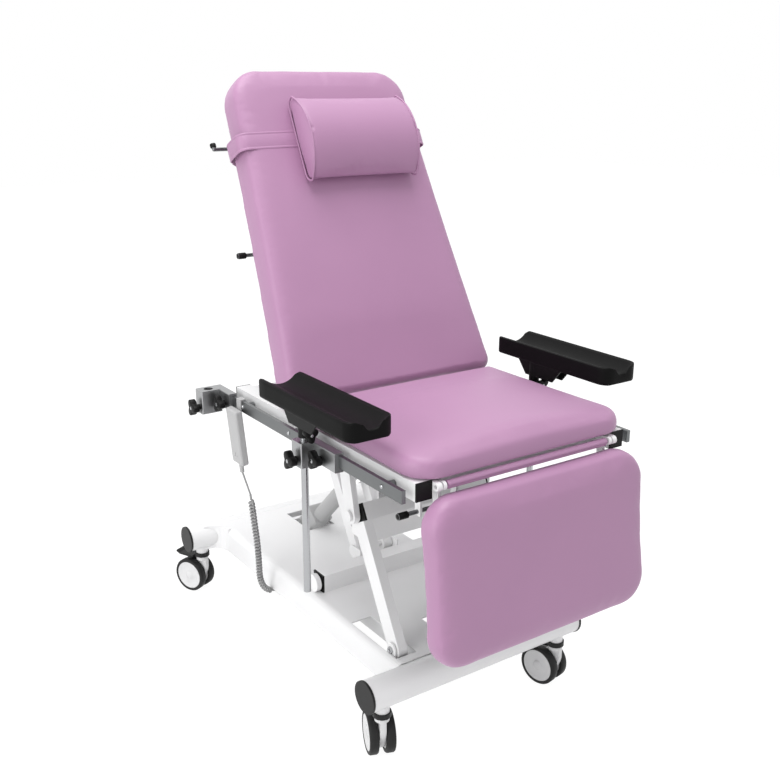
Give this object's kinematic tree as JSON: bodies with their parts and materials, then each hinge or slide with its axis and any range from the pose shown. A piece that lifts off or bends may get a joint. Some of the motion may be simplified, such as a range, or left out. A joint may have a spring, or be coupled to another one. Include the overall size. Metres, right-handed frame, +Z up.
{
  "type": "phlebotomy chair",
  "caption": "Height-adjustable blood sampling chair with a reclining back, hinged leg rest, clamped arm supports and a wheeled base.",
  "frame": {"origin": "centre of the chair's box at floor level", "axes": "+Z up, -Y to the front, +X to the seated person's left"},
  "size_m": [0.86, 1.3984, 1.618],
  "materials": {
    "upholstery": "satin",
    "white_paint": "gloss",
    "steel_rail": "brushed",
    "black_plastic": "matte",
    "bracket_paint": "matte",
    "grey_plastic": "satin",
    "chromed_rod": "polished",
    "cord_skin": "satin",
    "dark_plastic": "satin",
    "caster_shell": "gloss",
    "caster_tyre": "satin"
  },
  "bodies": {
    "base": {"base_chassis": "white_paint", "base_cover": "white_paint", "tube_caps": "dark_plastic", "swivel_collars": "dark_plastic", "cross_beam": "white_paint", "cross_beam_caps": "black_plastic", "curly_cord": "cord_skin"},
    "caster_front_right": {"caster_front_right_housing": "caster_shell"},
    "wheels_front_right": {"caster_front_right_wheels": "caster_tyre"},
    "caster_front_left": {"caster_front_left_housing": "caster_shell"},
    "wheels_front_left": {"caster_front_left_wheels": "caster_tyre"},
    "caster_rear_right": {"caster_rear_right_housing": "caster_shell"},
    "wheels_rear_right": {"caster_rear_right_wheels": "caster_tyre"},
    "pedal_rear_right": {"brake_pedal_rear_right": "dark_plastic"},
    "caster_rear_left": {"caster_rear_left_housing": "caster_shell"},
    "wheels_rear_left": {"caster_rear_left_wheels": "caster_tyre"},
    "pedal_rear_left": {"brake_pedal_rear_left": "dark_plastic"},
    "lift_arms": {"lift_arms": "white_paint", "lift_arm_caps": "black_plastic"},
    "rear_link": {"rear_link": "white_paint"},
    "actuator_body": {"actuator_body": "grey_plastic"},
    "actuator_rod": {"actuator_rod": "chromed_rod"},
    "seat": {"seat_frame": "white_paint", "seat_frame_caps": "black_plastic", "side_rails": "steel_rail", "seat_cushion": "upholstery", "front_roll": "upholstery", "control_box": "white_paint", "handset": "grey_plastic", "handset_lead": "cord_skin"},
    "back": {"back_frame": "white_paint", "back_cushion": "upholstery"},
    "pillow": {"head_pillow": "upholstery", "pillow_strap": "upholstery"},
    "release_upper": {"back_release_upper": "steel_rail"},
    "release_lower": {"back_release_lower": "steel_rail"},
    "release_leg": {"leg_release_lever": "steel_rail"},
    "leg_rest": {"leg_frame": "white_paint", "leg_cushion": "upholstery"},
    "arm_clamp_right": {"arm_clamp_right": "steel_rail"},
    "arm_post_right": {"arm_post_right": "steel_rail"},
    "arm_rest_right": {"arm_bracket_right": "bracket_paint", "arm_pad_right": "black_plastic"},
    "arm_rail_knob_right": {"arm_knob_rail_right": "black_plastic"},
    "arm_post_knob_right": {"arm_knob_post_right": "black_plastic"},
    "arm_swivel_knob_right": {"arm_knob_swivel_right": "black_plastic"},
    "arm_clamp_left": {"arm_clamp_left": "steel_rail"},
    "arm_post_left": {"arm_post_left": "steel_rail"},
    "arm_rest_left": {"arm_bracket_left": "bracket_paint", "arm_pad_left": "black_plastic"},
    "arm_rail_knob_left": {"arm_knob_rail_left": "black_plastic"},
    "arm_post_knob_left": {"arm_knob_post_left": "black_plastic"},
    "arm_swivel_knob_left": {"arm_knob_swivel_left": "black_plastic"},
    "pole_clamp": {"pole_clamp": "steel_rail"},
    "pole_rail_knob": {"pole_knob_rail": "black_plastic"},
    "pole_pole_knob": {"pole_knob_pole": "black_plastic"},
    "button_up": {"handset_button_up": "grey_plastic"},
    "button_down": {"handset_button_down": "grey_plastic"}
  },
  "joints": [
    {"name": "swivel_front_right", "type": "hinge", "parent": "base", "child": "caster_front_right", "pos_m": [-0.2846, -0.4354, 0.128], "axis": [0, 0, 1], "continuous": true},
    {"name": "roll_front_right", "type": "hinge", "parent": "caster_front_right", "child": "wheels_front_right", "pos_m": [-0.27214, -0.40377, 0.055], "axis": [0.9304, -0.3665, 0], "continuous": true},
    {"name": "swivel_front_left", "type": "hinge", "parent": "base", "child": "caster_front_left", "pos_m": [0.2866, -0.4354, 0.128], "axis": [0, 0, 1], "continuous": true},
    {"name": "roll_front_left", "type": "hinge", "parent": "caster_front_left", "child": "wheels_front_left", "pos_m": [0.27982, -0.40208, 0.055], "axis": [0.9799, 0.1994, 0], "continuous": true},
    {"name": "swivel_rear_right", "type": "hinge", "parent": "base", "child": "caster_rear_right", "pos_m": [-0.2846, 0.6034, 0.128], "axis": [0, 0, 1], "continuous": true},
    {"name": "roll_rear_right", "type": "hinge", "parent": "caster_rear_right", "child": "wheels_rear_right", "pos_m": [-0.29924, 0.63409, 0.055], "axis": [0.9026, 0.4305, 0], "continuous": true},
    {"name": "brake_rear_right", "type": "hinge", "parent": "caster_rear_right", "child": "pedal_rear_right", "pos_m": [-0.30053, 0.6368, 0.1073], "axis": [-0.9026, -0.4305, 0], "range_deg": [0, 8]},
    {"name": "swivel_rear_left", "type": "hinge", "parent": "base", "child": "caster_rear_left", "pos_m": [0.2866, 0.6034, 0.128], "axis": [0, 0, 1], "continuous": true},
    {"name": "roll_rear_left", "type": "hinge", "parent": "caster_rear_left", "child": "wheels_rear_left", "pos_m": [0.27953, 0.63666, 0.055], "axis": [0.9781, 0.2079, 0], "continuous": true},
    {"name": "brake_rear_left", "type": "hinge", "parent": "caster_rear_left", "child": "pedal_rear_left", "pos_m": [0.27891, 0.63959, 0.1073], "axis": [-0.9781, -0.2079, 0], "range_deg": [0, 8]},
    {"name": "lift", "type": "hinge", "parent": "base", "child": "lift_arms", "pos_m": [0.001, -0.359, 0.236], "axis": [-1, 0, 0], "range_deg": [0, 30], "deforming": ["curly_cord"]},
    {"name": "seat_level", "type": "hinge", "parent": "lift_arms", "child": "seat", "pos_m": [0.001, -0.192, 0.541], "axis": [-1, 0, 0], "range_deg": [-30, 0]},
    {"name": "rear_link_swing", "type": "hinge", "parent": "base", "child": "rear_link", "pos_m": [0.031, 0.087, 0.278], "axis": [-1, 0, 0], "range_deg": [0, 30]},
    {"name": "actuator_tilt", "type": "hinge", "parent": "base", "child": "actuator_body", "pos_m": [0.031, 0.469, 0.178], "axis": [-1, 0, 0], "range_deg": [0, 1.3]},
    {"name": "actuator_stroke", "type": "slide", "parent": "actuator_body", "child": "actuator_rod", "axis": [0, -0.7115, 0.7027], "range_m": [-0.181, 0]},
    {"name": "back_recline", "type": "hinge", "parent": "seat", "child": "back", "pos_m": [0.001, 0.0003, 0.7793], "axis": [-1, 0, 0], "range_deg": [0, 58]},
    {"name": "pillow_height", "type": "slide", "parent": "back", "child": "pillow", "axis": [0, 0.4462, 0.8949], "range_m": [-0.03, 0.06], "deforming": ["pillow_strap"]},
    {"name": "back_release_turn", "type": "hinge", "parent": "back", "child": "release_upper", "pos_m": [-0.231, 0.34724, 1.41532], "axis": [1, 0, 0], "range_deg": [0, 25], "stiffness_Nm_per_rad": 0.6},
    {"name": "back_release_pull", "type": "slide", "parent": "back", "child": "release_lower", "axis": [-1, 0, 0], "range_m": [0, 0.008], "stiffness_N_per_m": 600},
    {"name": "leg_release_pull", "type": "slide", "parent": "seat", "child": "release_leg", "axis": [-1, 0, 0], "range_m": [0, 0.008], "stiffness_N_per_m": 600},
    {"name": "leg_lift", "type": "hinge", "parent": "seat", "child": "leg_rest", "pos_m": [0.001, -0.608, 0.7735], "axis": [-1, 0, 0], "range_deg": [0, 80]},
    {"name": "arm_slide_right", "type": "slide", "parent": "seat", "child": "arm_clamp_right", "axis": [0, 1, 0], "range_m": [-0.15, 0.05]},
    {"name": "arm_height_right", "type": "slide", "parent": "arm_clamp_right", "child": "arm_post_right", "axis": [0, 0, 1], "range_m": [0, 0.2]},
    {"name": "arm_swing_right", "type": "hinge", "parent": "arm_post_right", "child": "arm_rest_right", "pos_m": [-0.361, -0.219, 0.866], "axis": [0, 0, 1], "range_deg": [-90, 30]},
    {"name": "arm_rail_knob_turn_right", "type": "hinge", "parent": "arm_clamp_right", "child": "arm_rail_knob_right", "pos_m": [-0.351, -0.278, 0.75], "axis": [-1, 0, 0], "range_deg": [-180, 180]},
    {"name": "arm_post_knob_turn_right", "type": "hinge", "parent": "arm_clamp_right", "child": "arm_post_knob_right", "pos_m": [-0.383, -0.219, 0.738], "axis": [-1, 0, 0], "range_deg": [-180, 180]},
    {"name": "arm_swivel_knob_turn_right", "type": "hinge", "parent": "arm_rest_right", "child": "arm_swivel_knob_right", "pos_m": [-0.361, -0.233, 0.803], "axis": [0, -1, 0], "range_deg": [-180, 180]},
    {"name": "arm_slide_left", "type": "slide", "parent": "seat", "child": "arm_clamp_left", "axis": [0, 1, 0], "range_m": [-0.15, 0.05]},
    {"name": "arm_height_left", "type": "slide", "parent": "arm_clamp_left", "child": "arm_post_left", "axis": [0, 0, 1], "range_m": [0, 0.2]},
    {"name": "arm_swing_left", "type": "hinge", "parent": "arm_post_left", "child": "arm_rest_left", "pos_m": [0.363, -0.219, 0.866], "axis": [0, 0, 1], "range_deg": [-30, 90]},
    {"name": "arm_rail_knob_turn_left", "type": "hinge", "parent": "arm_clamp_left", "child": "arm_rail_knob_left", "pos_m": [0.353, -0.278, 0.75], "axis": [1, 0, 0], "range_deg": [-180, 180]},
    {"name": "arm_post_knob_turn_left", "type": "hinge", "parent": "arm_clamp_left", "child": "arm_post_knob_left", "pos_m": [0.385, -0.219, 0.738], "axis": [1, 0, 0], "range_deg": [-180, 180]},
    {"name": "arm_swivel_knob_turn_left", "type": "hinge", "parent": "arm_rest_left", "child": "arm_swivel_knob_left", "pos_m": [0.363, -0.233, 0.803], "axis": [0, -1, 0], "range_deg": [-180, 180]},
    {"name": "pole_clamp_slide", "type": "slide", "parent": "seat", "child": "pole_clamp", "axis": [0, 1, 0], "range_m": [0, 0.04]},
    {"name": "pole_rail_knob_turn", "type": "hinge", "parent": "pole_clamp", "child": "pole_rail_knob", "pos_m": [-0.351, 0.234, 0.75], "axis": [-1, 0, 0], "range_deg": [-180, 180]},
    {"name": "pole_pole_knob_turn", "type": "hinge", "parent": "pole_clamp", "child": "pole_pole_knob", "pos_m": [-0.404, 0.284, 0.735], "axis": [-1, 0, 0], "range_deg": [-180, 180]},
    {"name": "button_press_up", "type": "slide", "parent": "seat", "child": "button_up", "axis": [-0.9956, 0, -0.0941], "range_m": [0, 0.0015], "stiffness_N_per_m": 800},
    {"name": "button_press_down", "type": "slide", "parent": "seat", "child": "button_down", "axis": [-0.9956, 0, -0.0941], "range_m": [0, 0.0015], "stiffness_N_per_m": 800}
  ],
  "couplings": [
    {"joint": "seat_level", "follows": "lift", "ratio": -1},
    {"joint": "rear_link_swing", "follows": "lift", "ratio": 1},
    {"joint": "actuator_tilt", "follows": "lift", "ratio": 0.04},
    {"joint": "actuator_stroke", "follows": "lift", "m_per_rad": -0.3437}
  ]
}
